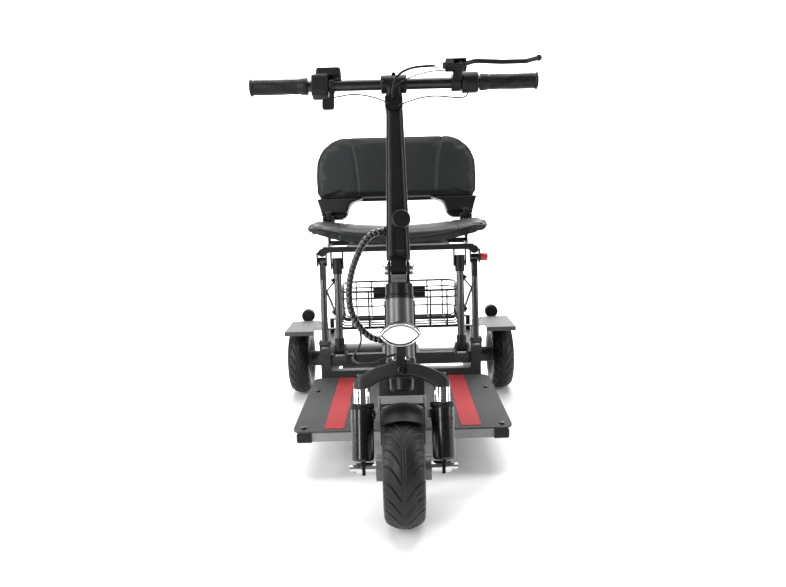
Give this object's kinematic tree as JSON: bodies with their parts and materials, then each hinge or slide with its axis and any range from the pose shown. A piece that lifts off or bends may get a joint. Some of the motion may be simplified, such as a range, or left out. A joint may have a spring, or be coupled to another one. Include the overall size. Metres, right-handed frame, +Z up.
{
  "type": "folding adult tricycle",
  "caption": "Folding electric adult tricycle: steered front wheel with telescopic fork, folding stem, low deck, folding seat with backrest, rear basket.",
  "frame": {"origin": "on the floor, under the middle of the whole vehicle", "axes": "-Y is forward, +Y the rear, +Z up; +X is on the right when the vehicle is seen from the front"},
  "size_m": [0.6666, 1.028, 0.864],
  "materials": {
    "rubber_tyre": "moulded tread",
    "alloy_rim": "cast, satin",
    "gloss_black": "gloss",
    "satin_black": "satin",
    "frame_grey": "satin powder coat",
    "light_grey": "satin",
    "steel": "brushed",
    "chrome": "polished",
    "black_plastic": "fine grain",
    "deck_speckle": "speckled",
    "grip_strip": "gritty, red",
    "grip_rubber": "ribbed",
    "lens_clear": "clear",
    "lamp_red": "moulded",
    "knob_red": "moulded",
    "basket_black": "plastic-coated wire",
    "seat_black": "grained imitation leather",
    "cord_black": "smooth sheath"
  },
  "bodies": {
    "frame": {"neck": "frame_grey", "head_tube": "frame_grey", "headset_cups": "satin_black", "deck_plate": "deck_speckle", "grip_strips": "grip_strip", "deck_screws": "satin_black", "deck_frame": "light_grey", "bumper_caps": "grip_rubber", "side_beams": "frame_grey", "rear_cross_frame": "frame_grey", "drive_motor": "light_grey", "controller": "black_plastic", "battery_pack": "black_plastic", "rear_fenders": "satin_black", "tail_lamps": "lamp_red", "basket": "basket_black"},
    "fork": {"fork_crown": "frame_grey", "stanchions": "chrome", "headlight_housing": "black_plastic", "headlight_lens": "lens_clear", "fold_clevis": "frame_grey", "hinge_hardware": "steel", "loom_lower": "cord_black", "lamp_cable": "cord_black"},
    "fork_slider": {"fork_lowers": "gloss_black", "front_axle": "steel", "front_mudguard": "gloss_black", "mudguard_stay": "satin_black"},
    "front_wheel": {"front_tyre": "rubber_tyre", "front_rim": "alloy_rim"},
    "left_wheel": {"rear_tyre_left": "rubber_tyre", "rear_rim_left": "alloy_rim"},
    "right_wheel": {"rear_tyre_right": "rubber_tyre", "rear_rim_right": "alloy_rim"},
    "stem_body": {"stem": "satin_black", "handlebar": "satin_black", "grips": "grip_rubber", "throttle_housing": "black_plastic", "switch_cluster": "black_plastic", "brake_perch": "satin_black", "brake_cable": "cord_black", "switch_wire": "cord_black", "left_wire": "cord_black", "right_wire": "cord_black", "loom_upper": "cord_black"},
    "latch": {"latch_lever": "satin_black"},
    "brake": {"brake_lever": "satin_black"},
    "throttle": {"throttle_lever": "black_plastic"},
    "horn": {"horn_button": "knob_red"},
    "front_post_pair": {"front_posts": "frame_grey", "post_sleeves": "black_plastic", "knee_brackets": "satin_black"},
    "rear_post_pair": {"rear_posts": "frame_grey"},
    "seat": {"seat_frame": "satin_black", "seat_pan": "black_plastic", "seat_cushion": "seat_black", "hinge_blocks": "satin_black"},
    "knob": {"lock_knob": "knob_red"},
    "backrest": {"backrest_pad": "seat_black", "backrest_shell": "black_plastic"}
  },
  "joints": [
    {"name": "steering", "type": "hinge", "parent": "frame", "child": "fork", "pos_m": [0, -0.37744, 0.09768], "axis": [0, 0.3007, 0.9537], "range_deg": [-35, 35], "deforming": ["loom_lower"]},
    {"name": "fork_travel", "type": "slide", "parent": "fork", "child": "fork_slider", "axis": [0, 0.3007, 0.9537], "range_m": [0, 0.016], "stiffness_N_per_m": 9000, "springref_m": -0.012},
    {"name": "front_wheel_spin", "type": "hinge", "parent": "fork_slider", "child": "front_wheel", "pos_m": [0, -0.407, 0.107], "axis": [1, 0, 0], "continuous": true},
    {"name": "left_wheel_spin", "type": "hinge", "parent": "frame", "child": "left_wheel", "pos_m": [-0.302, 0.412, 0.102], "axis": [1, 0, 0], "continuous": true},
    {"name": "right_wheel_spin", "type": "hinge", "parent": "frame", "child": "right_wheel", "pos_m": [0.302, 0.412, 0.102], "axis": [1, 0, 0], "continuous": true},
    {"name": "stem_fold", "type": "hinge", "parent": "fork", "child": "stem_body", "pos_m": [0, -0.26512, 0.45389], "axis": [-1, 0, 0], "range_deg": [0, 30], "deforming": ["loom_upper"]},
    {"name": "latch_turn", "type": "hinge", "parent": "stem_body", "child": "latch", "pos_m": [0.004, -0.29164, 0.48951], "axis": [1, 0, 0], "range_deg": [0, 75]},
    {"name": "brake_squeeze", "type": "hinge", "parent": "stem_body", "child": "brake", "pos_m": [0.132, -0.19403, 0.84564], "axis": [0, 0.515, 0.8572], "range_deg": [0, 11], "stiffness_Nm_per_rad": 1.5, "springref_deg": -8.59},
    {"name": "throttle_press", "type": "hinge", "parent": "stem_body", "child": "throttle", "pos_m": [-0.13, -0.14995, 0.81917], "axis": [-1, 0, 0], "range_deg": [0, 25], "stiffness_Nm_per_rad": 0.3, "springref_deg": -5.73},
    {"name": "horn_press", "type": "slide", "parent": "stem_body", "child": "horn", "axis": [0, -0.9537, 0.3007], "range_m": [0, 0.002], "stiffness_N_per_m": 400, "springref_m": -0.001},
    {"name": "seat_collapse", "type": "hinge", "parent": "frame", "child": "front_post_pair", "pos_m": [0, 0.118, 0.2], "axis": [1, 0, 0], "range_deg": [0, 88]},
    {"name": "rear_post_swing", "type": "hinge", "parent": "frame", "child": "rear_post_pair", "pos_m": [0, 0.166, 0.206], "axis": [1, 0, 0], "range_deg": [0, 88]},
    {"name": "seat_level", "type": "hinge", "parent": "front_post_pair", "child": "seat", "pos_m": [0, 0.1445, 0.418], "axis": [1, 0, 0], "range_deg": [-88, 0]},
    {"name": "knob_pull", "type": "slide", "parent": "seat", "child": "knob", "axis": [1, 0, 0], "range_m": [0, 0.008], "stiffness_N_per_m": 900, "springref_m": -0.004},
    {"name": "backrest_fold", "type": "hinge", "parent": "seat", "child": "backrest", "pos_m": [0, 0.3955, 0.523], "axis": [1, 0, 0], "range_deg": [0, 88]}
  ],
  "couplings": [
    {"joint": "rear_post_swing", "follows": "seat_collapse", "ratio": 1},
    {"joint": "seat_level", "follows": "seat_collapse", "ratio": -1}
  ]
}
